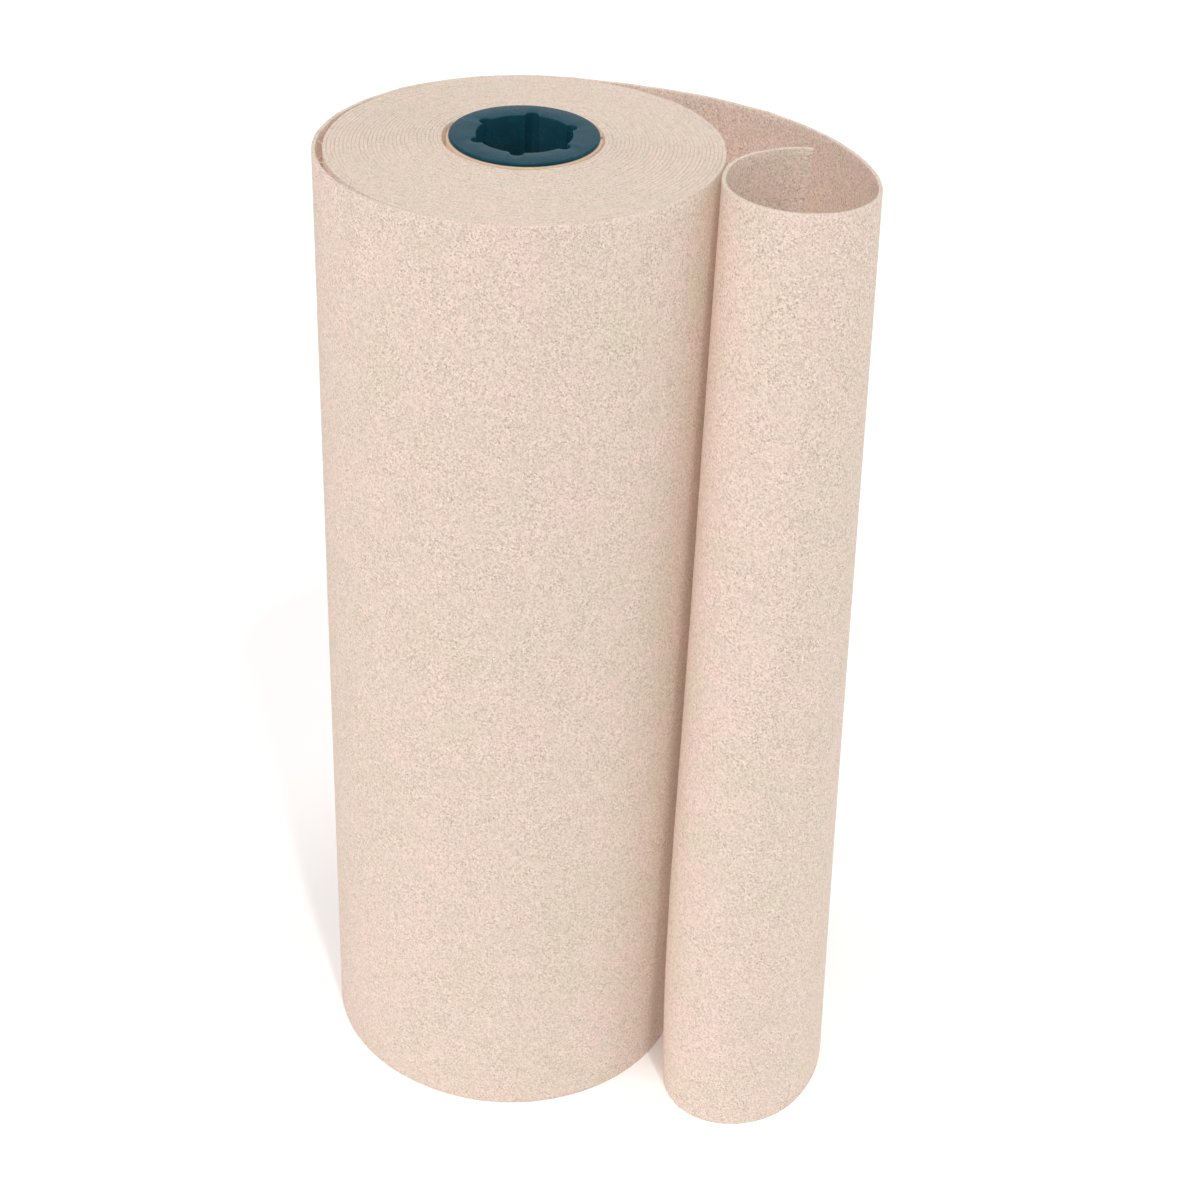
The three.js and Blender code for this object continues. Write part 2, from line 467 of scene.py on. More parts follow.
@dataclass(frozen=True)
class SpiralBoard(Finish):
    """Spirally wound grey board: dull paper plies with a thin dark seam that climbs the tube."""

    name: str = "spiral_wound_board"
    light: str = "#D9C5B0"
    dark: str = "#BFA58B"
    seam: str = "#8E7358"
    seam_climb: float = 96 * MM
    seam_width: float = 1.2 * MM
    seam_depth: float = 1.5
    fibre: float = 3.5 * MM
    fibre_squeeze: tuple[float, float, float] = (1.0, 1.0, 0.22)
    roughness: float = 0.88
    relief: float = 0.4 * MM
    relief_strength: float = 0.5

    def material(self) -> bpy.types.Material:
        """Builds the material.

        Returns:
            The material, which reads the map of turn against height.
        """
        material, tree = new_material(self.name)
        turn_map = add_node(tree, "ShaderNodeUVMap", uv_map=STRIP_MAP).outputs["UV"]
        place = add_node(tree, "ShaderNodeSeparateXYZ", {0: turn_map})
        position = add_node(tree, "ShaderNodeTexCoord").outputs["Object"]
        stretched = add_node(
            tree, "ShaderNodeMapping", {"Vector": position, "Scale": self.fibre_squeeze}
        )
        fibres = add_node(
            tree,
            "ShaderNodeTexNoise",
            {"Vector": stretched.outputs[0], "Scale": 1 / self.fibre, "Detail": 4.0},
        )
        known = {"turn": place.outputs[0], "height": place.outputs[1], "fibre": fibres.outputs["Fac"]}
        add_steps(
            tree,
            known,
            (
                ("climbed", "MULTIPLY_ADD", "height", 1 / self.seam_climb, "turn"),
                ("within", "FRACT", "climbed"),
                ("off_seam", "SUBTRACT", "within", 0.5),
                ("apart", "ABSOLUTE", "off_seam"),
                ("seam", "LESS_THAN", "apart", self.seam_width / self.seam_climb / 2),
                ("relief", "MULTIPLY_ADD", "seam", -self.seam_depth, "fibre"),
            ),
        )
        paper = add_node(
            tree,
            "ShaderNodeMix",
            {0: known["fibre"], 6: linear(self.dark), 7: linear(self.light)},
            data_type="RGBA",
        )
        lined = add_node(
            tree,
            "ShaderNodeMix",
            {0: known["seam"], 6: paper.outputs[2], 7: linear(self.seam)},
            data_type="RGBA",
        )
        self.surface(tree, lined.outputs[2], known["relief"])
        return material


@dataclass(frozen=True)
class MouldedPlastic(Finish):
    """Injection moulded plastic in dark teal: glossy, with flow marks and faint handling scuffs."""

    name: str = "injection_moulded_plastic"
    colour: str = "#15414F"
    worn: str = "#1F4F5D"
    flow: float = 14 * MM
    scuff: float = 1.6 * MM
    wear_gain: float = 3.0
    wear_from: float = 0.6
    roughness: float = 0.12
    scuffed_roughness: float = 0.5
    specular: float = 0.08
    scuff_relief: float = 0.12
    relief: float = 0.8 * MM
    relief_strength: float = 0.35

    def material(self) -> bpy.types.Material:
        """Builds the material.

        Returns:
            The material, which reads Object coordinates.
        """
        material, tree = new_material(self.name)
        position = add_node(tree, "ShaderNodeTexCoord").outputs["Object"]
        known = {}
        for grain, size in {"flow": self.flow, "scuff": self.scuff}.items():
            noise = add_node(
                tree, "ShaderNodeTexNoise", {"Vector": position, "Scale": 1 / size, "Detail": 3.0}
            )
            known[grain] = noise.outputs["Fac"]
        add_steps(
            tree,
            known,
            (
                ("rubbed", "MULTIPLY", "scuff", "flow"),
                ("wear", "MULTIPLY_ADD", "rubbed", self.wear_gain, -self.wear_from),
                ("roughness", "MULTIPLY_ADD", "rubbed", self.scuffed_roughness, self.roughness),
                ("ripple", "MULTIPLY_ADD", "scuff", self.scuff_relief, "flow"),
            ),
        )
        mixed = add_node(
            tree,
            "ShaderNodeMix",
            {0: known["wear"], 6: linear(self.colour), 7: linear(self.worn)},
            data_type="RGBA",
            clamp_factor=True,
        )
        self.surface(tree, mixed.outputs[2], known["ripple"], {"Roughness": known["roughness"]})
        return material


@dataclass(frozen=True)
class StudioPaper(Finish):
    """Plain pale paper sweep for the floor."""

    name: str = "studio_paper"
    colour: str = "#FEFEFE"
    tooth: float = 2 * MM
    roughness: float = 1.0
    specular: float = 0.0
    ior: float = 1.5
    relief: float = 0.05 * MM
    relief_strength: float = 1.0

    def material(self) -> bpy.types.Material:
        """Builds the material, with a faint tooth to the paper.

        Returns:
            The material.
        """
        material, tree = new_material(self.name)
        position = add_node(tree, "ShaderNodeTexCoord").outputs["Object"]
        tooth = add_node(
            tree, "ShaderNodeTexNoise", {"Vector": position, "Scale": 1 / self.tooth, "Detail": 1.0}
        )
        self.surface(tree, linear(self.colour), tooth.outputs["Fac"])
        return material


# The carpet


@dataclass(frozen=True)
class Winding:
    """How the carpet is wound, measured from the roll's axis. Azimuths run anticlockwise from +X.

    The two pieces of carpet meet hidden_join degrees short of the lift-off.
    """

    bore: float = 69.3 * MM
    pitch: float = 3.6 * MM
    thickness: float = 3.42 * MM
    width: float = 1000 * MM
    rim: float = 180 * MM
    foot: float = 186.5 * MM
    flat_back: float = 5 * MM
    flat_back_azimuth: float = 95
    oval: float = 9 * MM
    oval_azimuth: float = 105
    dome: float = 7 * MM
    lift_azimuth: float = 244
    hidden_join: float = 206

    @property
    def start_line(self) -> float:
        """Radius of the carpet's middle line where the winding starts."""
        return self.bore + self.pitch / 2

    @property
    def end_line(self) -> float:
        """Radius of the carpet's middle line at the lift-off, before the roll is pressed oval."""
        return self.rim - self.pitch / 2

    @property
    def sweep(self) -> float:
        """Degrees wound from the tube to the lift-off."""
        return 360 * (self.end_line - self.start_line) / self.pitch

    def wound_length(self, short_of_lift: float) -> float:
        """Length of carpet wound from the tube to this many degrees short of the lift-off."""
        line = self.end_line - self.pitch * short_of_lift / 360
        return math.pi * (line**2 - self.start_line**2) / self.pitch

    def outer_face(self, azimuth: float, share: float) -> float:
        """Radius of the tight turns' outer face, as the winding tree presses it in.

        Args:
            azimuth: From the lift-off down to one turn before it, in degrees.
            share: Height as a share of the carpet's width.

        Returns:
            The radius in metres.
        """
        turn = (self.lift_azimuth - azimuth) / 360
        base = self.foot + (self.rim - self.foot) * share
        to_back = max(0.0, math.cos(math.radians(azimuth - self.flat_back_azimuth)))
        oval = self.oval * share * math.cos(math.radians(azimuth - self.oval_azimuth)) ** 2
        return base - self.pitch * (1 - turn) - self.flat_back * to_back**2 - oval


@dataclass(frozen=True)
class Stretch:
    """One stretch of the loose end: its length, and the degrees that it turns clockwise over it."""

    name: str
    length: float
    top_turn: float
    middle_turn: float
    floor_turn: float


@dataclass(frozen=True)
class LooseLine:
    """The loose end's middle line, from the lift-off to the free end.

    It leaves the roll at the departure azimuths, which are for the floor, halfway up and the top.
    """

    winding: Winding
    pile: float = 3.6 * MM
    lay: float = 0.45 * MM
    lay_sweep: float = 12
    gap_top: float = 5.5 * MM
    gap_foot: float = 3.5 * MM
    gap_azimuth: float = 191
    gap_sweep: float = 56
    departure: tuple[float, float, float] = (72, 72, 77.5)
    heading_share: float = 1 / 40
    wrap_steps: int = 84
    stretch_steps: int = 10
    stretches: tuple[Stretch, ...] = (
        Stretch("back run", 119 * MM, 14.5, 10, 0),
        Stretch("shoulder", 126 * MM, 26, 20, 23),
        Stretch("right side", 106 * MM, 28, 36, 41),
        Stretch("right front", 38 * MM, 17, 14, 9),
        Stretch("front", 65 * MM, 62, 28, 13.5),
        Stretch("left front", 74 * MM, 58, 51, 28),
        Stretch("left turn", 62 * MM, 56, 54, 38),
        Stretch("left side", 35 * MM, 24, 29, 25),
        Stretch("free flap", 93 * MM, 75, 71, 87),
    )

    @staticmethod
    def through_three(floor: float, middle: float, top: float, share: float) -> float:
        """A smooth change with height through three values.

        Args:
            floor: The value at the floor.
            middle: The value halfway up.
            top: The value at the top.
            share: Height as a share of the carpet's width.

        Returns:
            The value at that height.
        """
        low = floor * (1 - share) * (1 - 2 * share)
        high = top * share * (2 * share - 1)
        return low + middle * 4 * share * (1 - share) + high

    def gap(self, azimuth: float, share: float) -> float:
        """Width of the gap between the roll and the loose turn, widest at the left.

        Args:
            azimuth: Where round the roll, in degrees.
            share: Height as a share of the carpet's width.

        Returns:
            The width in metres, and 0 where the turn lies close.
        """
        offset = abs(azimuth - self.gap_azimuth) / self.gap_sweep
        deepest = self.gap_foot + (self.gap_top - self.gap_foot) * share
        return deepest * 0.5 * (1 + math.cos(math.pi * offset)) if offset < 1 else 0.0

    def round_the_roll(self, passed: float, share: float) -> Vector:
        """A point of the middle line where it still follows the roll.

        Args:
            passed: How far it has come from the lift-off to where it leaves the roll, from 0 to 1.
            share: Height as a share of the carpet's width.

        Returns:
            The point, round an axis at the origin.
        """
        winding = self.winding
        departure = self.through_three(*self.departure, share)
        azimuth = winding.lift_azimuth + (departure - winding.lift_azimuth) * passed
        lay = self.lay * min(1.0, (winding.lift_azimuth - azimuth) / self.lay_sweep)
        radius = winding.outer_face(azimuth, share) + lay + self.gap(azimuth, share) + self.pile / 2
        angle = math.radians(azimuth)
        return Vector((radius * math.cos(angle), radius * math.sin(angle)))

    def line(self, share: float) -> list[Vector]:
        """Points of the middle line at one height.

        Args:
            share: Height as a share of the carpet's width.

        Returns:
            Points from just past the lift-off to the free end, round an axis at the origin.
        """
        steps = self.wrap_steps
        points = [self.round_the_roll(i / steps, share) for i in range(1, steps + 1)]
        place = points[-1]
        along = place - self.round_the_roll(1 - self.heading_share, share)
        heading = math.atan2(along.y, along.x)
        for stretch in self.stretches:
            turned = self.through_three(stretch.floor_turn, stretch.middle_turn, stretch.top_turn, share)
            turn = math.radians(turned) / self.stretch_steps
            step = stretch.length / self.stretch_steps
            for _ in range(self.stretch_steps):
                direction = heading - turn / 2
                place = place + Vector((math.cos(direction), math.sin(direction))) * step
                points.append(place)
                heading -= turn
        return points


@dataclass(frozen=True)
class StripSection:
    """The carpet cut across: up the outer face, over the top edge and down the inner face."""

    winding: Winding
    levels: int
    rounding: float = 0.55 * MM
    margin: float = 7 * MM
    edge_reach: float = 1.01

    def points(self) -> list[tuple[float, float]]:
        """Lays out the closed section.

        Returns:
            Pairs of place across the thickness and height.
        """
        width = self.winding.width
        half = self.winding.thickness / 2
        shoulder = self.rounding * (1 - math.sqrt(0.5))
        room = width - 2 * self.margin
        heights = [self.rounding]
        heights += [self.margin + room * i / (self.levels - 1) for i in range(self.levels)]
        heights += [width - self.rounding]
        outer = [(half - self.rounding, 0.0), (half - shoulder, shoulder)]
        outer += [(half, height) for height in heights]
        outer += [(half - shoulder, width - shoulder), (half - self.rounding, width)]
        return outer + [(-across, height) for across, height in reversed(outer)]

    def mesh(self, name: str, rows: Sequence[Sequence[Vector]], lengths: Sequence[float]) -> bpy.types.Mesh:
        """Joins sections along the strip into a closed sheet.

        Args:
            name: The mesh's name.
            rows: The points of each section, in the order of points().
            lengths: How far along the strip each section lies.

        Returns:
            The mesh, with a map in metres along and across the strip and its cut edges marked.
        """
        section = self.points()
        count = len(section)
        around = [0.0]
        for k in range(count):
            here, there = section[k], section[(k + 1) % count]
            around.append(around[-1] + math.dist(here, there))
        rise = self.winding.width - self.rounding * self.edge_reach
        top = [section[k][1] > rise and section[(k + 1) % count][1] > rise for k in range(count)]
        faces, maps, cut = [], [], []
        # A band of faces joins each section to the next.
        for i in range(len(rows) - 1):
            for k in range(count):
                after = (k + 1) % count
                faces.append((i * count + k, i * count + after, (i + 1) * count + after, (i + 1) * count + k))
                near, far = lengths[i], lengths[i + 1]
                maps += [near, around[k], near, around[k + 1], far, around[k + 1], far, around[k]]
                cut.append(top[k])
        # Each end of the strip is closed by a column of faces across its thickness.
        for row, turned in ((0, True), (len(rows) - 1, False)):
            for k in range(count // 2 - 1):
                corners = [k, k + 1, count - 2 - k, count - 1 - k]
                if turned:
                    corners.reverse()
                flat = [
                    (lengths[row] + section[c][0], around[c if c < count // 2 else count - 1 - c])
                    for c in corners
                ]
                faces.append(tuple(row * count + c for c in corners))
                maps += [value for pair in flat for value in pair]
                cut.append(True)
        mesh = bpy.data.meshes.new(name)
        mesh.from_pydata([point for row in rows for point in row], [], faces)
        mesh.uv_layers.new(name=STRIP_MAP).data.foreach_set("uv", maps)
        mesh.attributes.new("cut_edge", "FLOAT", "FACE").data.foreach_set("value", [float(c) for c in cut])
        mesh.shade_smooth()
        mesh.set_sharp_from_angle(angle=SHARP_CORNER)
        return mesh


# The roll's sizes and angles that the winding tree takes, by the names of its inputs.
WINDING_INPUTS = {
    "Bore radius": "bore",
    "Pitch": "pitch",
    "Carpet width": "width",
    "Rim radius": "rim",
    "Foot radius": "foot",
    "Flat back": "flat_back",
    "Oval": "oval",
    "Dome": "dome",
}
WINDING_ANGLES = {
    "Flat back azimuth": "flat_back_azimuth",
    "Oval azimuth": "oval_azimuth",
    "Lift azimuth": "lift_azimuth",
}
# The cut edge rises and falls, and the turns lie loose or tight, in waves of these lengths along the strip.
WINDING_WAVES = {
    "edge": 42 * MM,
    "slack": 130 * MM,
}
# Each step's name, its operation and its operands. The strip's own length gives the radius, the radius
# gives the azimuth, and the roll's outline at that azimuth and height presses the radius in.
WINDING_STEPS = (
    ("start line", "MULTIPLY_ADD", "Pitch", 0.5, "Bore radius"),
    ("start squared", "MULTIPLY", "start line", "start line"),
    ("growth", "DIVIDE", "Pitch", math.pi),
    ("line squared", "MULTIPLY_ADD", "along", "growth", "start squared"),
    ("middle line", "SQRT", "line squared"),
    ("end line", "MULTIPLY_ADD", "Pitch", -0.5, "Rim radius"),
    ("line to come", "SUBTRACT", "end line", "middle line"),
    ("angle rate", "DIVIDE", math.tau, "Pitch"),
    ("azimuth", "MULTIPLY_ADD", "line to come", "angle rate", "Lift azimuth"),
    ("share", "DIVIDE", "height", "Carpet width"),
    ("taper", "SUBTRACT", "Rim radius", "Foot radius"),
    ("round outline", "MULTIPLY_ADD", "share", "taper", "Foot radius"),
    ("from flat", "SUBTRACT", "azimuth", "Flat back azimuth"),
    ("flat cosine", "COSINE", "from flat"),
    ("back only", "MAXIMUM", "flat cosine", 0.0),
    ("back squared", "MULTIPLY", "back only", "back only"),
    ("back press", "MULTIPLY", "back squared", "Flat back"),
    ("from oval", "SUBTRACT", "azimuth", "Oval azimuth"),
    ("oval cosine", "COSINE", "from oval"),
    ("oval squared", "MULTIPLY", "oval cosine", "oval cosine"),
    ("oval here", "MULTIPLY", "Oval", "share"),
    ("oval press", "MULTIPLY", "oval squared", "oval here"),
    ("flattened", "SUBTRACT", "round outline", "back press"),
    ("outline", "SUBTRACT", "flattened", "oval press"),
    ("slack line", "MULTIPLY_ADD", "slack", "Slack", "middle line"),
    ("round radius", "ADD", "slack line", "across"),
    ("past bore", "SUBTRACT", "round radius", "Bore radius"),
    ("wound depth", "SUBTRACT", "Rim radius", "Bore radius"),
    ("fraction", "DIVIDE", "past bore", "wound depth"),
    ("room", "SUBTRACT", "outline", "Bore radius"),
    ("radius", "MULTIPLY_ADD", "room", "fraction", "Bore radius"),
    ("azimuth cosine", "COSINE", "azimuth"),
    ("azimuth sine", "SINE", "azimuth"),
    ("x", "MULTIPLY", "radius", "azimuth cosine"),
    ("y", "MULTIPLY", "radius", "azimuth sine"),
    ("dome angle", "MULTIPLY", "fraction", math.pi),
    ("dome cosine", "COSINE", "dome angle"),
    ("dome fall", "MULTIPLY_ADD", "dome cosine", 0.5, 0.5),
    ("dome here", "MULTIPLY", "Dome", "share"),
    ("z", "MULTIPLY_ADD", "dome fall", "dome here", "height"),
    ("lift", "MULTIPLY", "edge", "Edge unevenness"),
    ("lift here", "MULTIPLY", "lift", "share"),
)


def winding_tree() -> bpy.types.NodeTree:
    """Builds the tree that rolls a flat strip up on the tube and leaves its edge a little uneven.

    Returns:
        The tree. Where the strip's "wound" attribute is set, X is the place along the strip, Y the
        place across its thickness and Z the height. Elsewhere the points are in place already.
    """
    names = [*WINDING_INPUTS, *WINDING_ANGLES, "Slack", "Edge unevenness", "Seed"]
    sockets = [(name, "NodeSocketFloat") for name in names] + [("Material", "NodeSocketMaterial")]
    tree, known = shape_tree("roll_up_the_strip", sockets)
    marks = {}
    for name, kind in (("wound", "BOOLEAN"), ("along", "FLOAT")):
        mark = add_node(tree, "GeometryNodeInputNamedAttribute", {"Name": name}, data_type=kind)
        marks[name] = mark.outputs["Attribute"]
    position = add_node(tree, "GeometryNodeInputPosition")
    flat = add_node(tree, "ShaderNodeSeparateXYZ", {0: position.outputs[0]})
    known |= {"along": marks["along"], "across": flat.outputs[1], "height": flat.outputs[2]}
    for name, size in WINDING_WAVES.items():
        placed = add_node(
            tree,
            "ShaderNodeMath",
            {0: known["along"], 1: 1 / size, 2: known["Seed"]},
            operation="MULTIPLY_ADD",
        )
        wave = add_node(
            tree,
            "ShaderNodeTexNoise",
            {"W": placed.outputs[0], "Scale": 1.0, "Detail": 3.0, "Roughness": 0.6},
            noise_dimensions="1D",
        )
        both_ways = add_node(
            tree, "ShaderNodeMath", {0: wave.outputs["Fac"], 1: 2.0, 2: -1.0}, operation="MULTIPLY_ADD"
        )
        known[name] = both_ways.outputs[0]
    add_steps(tree, known, WINDING_STEPS)
    rolled = add_node(tree, "ShaderNodeCombineXYZ", {0: known["x"], 1: known["y"], 2: known["z"]})
    raised = add_node(tree, "ShaderNodeCombineXYZ", {2: known["lift here"]})
    wound = add_node(
        tree,
        "GeometryNodeSetPosition",
        {"Geometry": known["Geometry"], "Selection": marks["wound"], "Position": rolled.outputs[0]},
    )
    edged = add_node(
        tree, "GeometryNodeSetPosition", {"Geometry": wound.outputs[0], "Offset": raised.outputs[0]}
    )
    end_tree(tree, edged.outputs[0], known["Material"])
    return tree


# A fibre's tip and root radius as shares of its thickness, and its shortest and longest length as
# shares of the usual one.
FIBRE_TIP = 0.2
FIBRE_ROOT = 0.5
SHORTEST_FIBRE = 0.4
LONGEST_FIBRE = 1.3


def fuzz_tree() -> bpy.types.NodeTree:
    """Builds the tree that plants short loose fibres on a carpet's cut edges.

    Returns:
        The tree.
    """
    floats = ("Fibres per square metre", "Fibre length", "Fibre thickness", "Lean")
    sockets = [(name, "NodeSocketFloat") for name in floats]
    sockets += [("Seed", "NodeSocketInt"), ("Material", "NodeSocketMaterial")]
    tree, known = shape_tree("fibres_on_cut_edges", sockets)
    cut = add_node(tree, "GeometryNodeInputNamedAttribute", {"Name": "cut_edge"}, data_type="FLOAT")
    roots = add_node(
        tree,
        "GeometryNodeDistributePointsOnFaces",
        {
            "Mesh": known["Geometry"],
            "Selection": cut.outputs["Attribute"],
            "Density": known["Fibres per square metre"],
            "Seed": known["Seed"],
        },
        distribute_method="RANDOM",
    )
    add_steps(
        tree,
        known,
        (
            ("thin end", "MULTIPLY", "Fibre thickness", FIBRE_TIP),
            ("thick end", "MULTIPLY", "Fibre thickness", FIBRE_ROOT),
            ("lean back", "MULTIPLY", "Lean", -1.0),
        ),
    )
    fibre = add_node(
        tree,
        "GeometryNodeMeshCone",
        {
            "Vertices": 3,
            "Side Segments": 1,
            "Radius Top": known["thin end"],
            "Radius Bottom": known["thick end"],
            "Depth": known["Fibre length"],
        },
    )
    low = add_node(tree, "ShaderNodeCombineXYZ", {0: known["lean back"], 1: known["lean back"]})
    high = add_node(tree, "ShaderNodeCombineXYZ", {0: known["Lean"], 1: known["Lean"], 2: math.tau})
    leaning = add_node(
        tree,
        "FunctionNodeRandomValue",
        {0: low.outputs[0], 1: high.outputs[0], "Seed": known["Seed"]},
        data_type="FLOAT_VECTOR",
    )
    turned = add_node(
        tree,
        "FunctionNodeRotateRotation",
        {"Rotation": roots.outputs["Rotation"], "Rotate By": leaning.outputs[0]},
        rotation_space="LOCAL",
    )
    longer = add_node(
        tree,
        "FunctionNodeRandomValue",
        {2: SHORTEST_FIBRE, 3: LONGEST_FIBRE, "Seed": known["Seed"]},
        data_type="FLOAT",
    )
    planted = add_node(
        tree,
        "GeometryNodeInstanceOnPoints",
        {
            "Points": roots.outputs["Points"],
            "Instance": fibre.outputs["Mesh"],
            "Rotation": turned.outputs[0],
            "Scale": longer.outputs[1],
        },
    )
    end_tree(tree, planted.outputs[0], known["Material"])
    return tree


@dataclass(frozen=True)
class PulledThread:
    """A long fibre that still joins the loose turn to the roll: its place, drop, slant and slack."""

    azimuth: float
    drop: float
    slant: float
    slack: float


@dataclass
class PulledThreads:
    """The few long fibres that cross the gap at the left of the roll."""

    axis: Vector
    winding: Winding
    finish: bpy.types.Material
    thickness: float = 0.7 * MM
    steps: int = 8
    root: float = 1.2 * MM
    threads: tuple[PulledThread, ...] = (
        PulledThread(203, 6 * MM, 3, 1.2 * MM),
        PulledThread(196, 2.5 * MM, -2, 0.7 * MM),
        PulledThread(187, 9 * MM, 4, 2.0 * MM),
        PulledThread(181, 3.5 * MM, -3, 1.0 * MM),
        PulledThread(172, 14 * MM, 2, 1.6 * MM),
    )

    def build(self) -> None:
        """Makes the threads as fine round strands in one mesh."""
        winding = self.winding
        line = LooseLine(winding)
        curve = bpy.data.curves.new("pulled_threads", "CURVE")
        curve.dimensions = "3D"
        curve.bevel_depth = self.thickness / 2
        curve.bevel_resolution = 1
        curve.use_fill_caps = True
        for thread in self.threads:
            height = winding.width - thread.drop
            share = height / winding.width
            inner = winding.outer_face(thread.azimuth, share) - self.root
            outer = inner + 2 * self.root + line.gap(thread.azimuth, share)
            spline = curve.splines.new("POLY")
            spline.points.add(self.steps)
            for i, point in enumerate(spline.points):
                across = i / self.steps
                radius = inner + (outer - inner) * across
                angle = math.radians(thread.azimuth + thread.slant * (across - 0.5))
                sag = thread.slack * math.sin(math.pi * across)
                point.co = (radius * math.cos(angle), radius * math.sin(angle), height - sag, 1.0)
        strand = new_object("thread_curve", curve)
        depsgraph = bpy.context.evaluated_depsgraph_get()
        mesh = bpy.data.meshes.new_from_object(strand.evaluated_get(depsgraph))
        bpy.data.objects.remove(strand)
        self.strands = new_object("pulled_threads", mesh)
        place_on_axis(self.strands, self.axis)

    def dress(self) -> None:
        """Gives the threads the carpet's own material and ties them to the model."""
        self.strands.data.materials.clear()
        self.strands.data.materials.append(self.finish)
        tie(self.strands, Slot.CARPET)


@dataclass(frozen=True)
class FuzzGrowth:
    """How thickly fibres grow on a cut edge, per square metre, and the seed of their places."""

    density: float
    seed: int


@dataclass
class Carpet:
    """The carpet: the hidden tight turns, and the turn that shows with the loose end that follows it.

    The carpet is one length of cloth. It is made as two pieces that meet under the loose turn, where
    the join is hidden, so that the turn that shows can be as fine as it needs. The steps round the
    roll and the fibres' lean are in degrees.
    """

    axis: Vector
    winding: Winding = field(default_factory=Winding)
    finish: ShortPile = field(default_factory=ShortPile)
    hidden_step: float = 4
    hidden_levels: int = 2
    shown_step: float = 2
    shown_levels: int = 30
    first_loose_step: float = 6 * MM
    slack: float = 0.09 * MM
    unevenness: float = 0.9 * MM
    seed: float = 7
    fibre_length: float = 1.7 * MM
    fibre_thickness: float = 0.2 * MM
    fibre_lean: float = 70
    hidden_fuzz: FuzzGrowth = FuzzGrowth(190_000, 3)
    shown_fuzz: FuzzGrowth = FuzzGrowth(300_000, 5)

    def tight_rows(self, section: StripSection, start: float, end: float, step: float) -> Rows:
        """Lays out tightly wound carpet as a flat strip.

        Args:
            section: The section to repeat.
            start: Degrees short of the lift-off where the strip starts.
            end: Degrees short of the lift-off where it ends.
            step: Degrees from section to section.

        Returns:
            The sections' points and how far along the strip each lies.
        """
        count = math.ceil((start - end) / step)
        short = [start + (end - start) * i / count for i in range(count + 1)]
        lengths = [self.winding.wound_length(degrees) for degrees in short]
        shape = section.points()
        rows = [[Vector((along, across, height)) for across, height in shape] for along in lengths]
        return rows, lengths

    def loose_rows(self, section: StripSection, length: float) -> Rows:
        """Places the loose end's sections.

        Args:
            section: The section to repeat.
            length: How far along the strip the loose end starts.

        Returns:
            The sections' points and how far along the strip each lies.
        """
        width = self.winding.width
        shape = section.points()
        line = LooseLine(self.winding)
        lines = {height: line.line(height / width) for _, height in shape}
        middle = line.line(0.5)
        rows, lengths = [], []
        # Each section stands square to the line at each height.
        for i in range(len(middle)):
            length += (middle[i] - middle[i - 1]).length if i else self.first_loose_step
            row = []
            for across, height in shape:
                track = lines[height]
                along = (track[min(i + 1, len(track) - 1)] - track[max(i - 1, 0)]).normalized()
                place = track[i] + Vector((-along.y, along.x)) * across
                row.append(Vector((place.x, place.y, height)))
            rows.append(row)
            lengths.append(length)
        return rows, lengths

    def roll_up(
        self,
        name: str,
        mesh: bpy.types.Mesh,
        tight: int,
        lengths: Sequence[float],
        tree: bpy.types.NodeTree,
        material: bpy.types.Material,
    ) -> bpy.types.Object:
        """Marks a strip's points and rolls the wound ones up.

        Args:
            name: The piece's name.
            mesh: The strip.
            tight: How many of its sections are tightly wound.
            lengths: How far along the strip each section lies.
            tree: The tree that rolls it up.
            material: The piece's material.

        Returns:
            The finished piece.
        """
        count = len(mesh.vertices) // len(lengths)
        along = [length for length in lengths for _ in range(count)]
        wound = [i < tight for i in range(len(lengths)) for _ in range(count)]
        mesh.attributes.new("along", "FLOAT", "POINT").data.foreach_set("value", along)
        mesh.attributes.new("wound", "BOOLEAN", "POINT").data.foreach_set("value", wound)
        strip = new_object(name + "_strip", mesh)
        values = {socket: getattr(self.winding, size) for socket, size in WINDING_INPUTS.items()}
        for socket, size in WINDING_ANGLES.items():
            values[socket] = math.radians(getattr(self.winding, size))
        values |= {"Slack": self.slack, "Edge unevenness": self.unevenness, "Seed": self.seed}
        values["Material"] = material
        piece = run_tree(strip, tree, values, name)
        bpy.data.objects.remove(strip)
        place_on_axis(piece, self.axis)
        return piece

    def build(self) -> None:
        """Makes the two pieces of carpet and the fibres on their cut edges."""
        material = self.finish.material()
        rolling = winding_tree()
        join = self.winding.hidden_join
        plain = StripSection(self.winding, self.hidden_levels)
        rows, lengths = self.tight_rows(plain, self.winding.sweep, join, self.hidden_step)
        mesh = plain.mesh("tight_turns", rows, lengths)
        self.tight = self.roll_up("tight_turns", mesh, len(rows), lengths, rolling, material)
        self.tight_length = lengths[-1] - lengths[0]
        fine = StripSection(self.winding, self.shown_levels)
        rows, lengths = self.tight_rows(fine, join, 0, self.shown_step)
        tight = len(rows)
        more_rows, more_lengths = self.loose_rows(fine, lengths[-1])
        rows, lengths = rows + more_rows, lengths + more_lengths
        mesh = fine.mesh("shown_turn", rows, lengths)
        self.shown = self.roll_up("shown_turn", mesh, tight, lengths, rolling, material)
        self.shown_length = lengths[-1] - lengths[0]
        self.threads = PulledThreads(self.axis, self.winding, material)
        self.threads.build()
        planting = fuzz_tree()
        self.fuzz = []
        for piece, growth in ((self.tight, self.hidden_fuzz), (self.shown, self.shown_fuzz)):
            values = {
                "Fibres per square metre": growth.density,
                "Fibre length": self.fibre_length,
                "Fibre thickness": self.fibre_thickness,
                "Lean": math.radians(self.fibre_lean),
                "Seed": growth.seed,
                "Material": material,
            }
            self.fuzz.append(run_tree(piece, planting, values, piece.name + "_fuzz"))

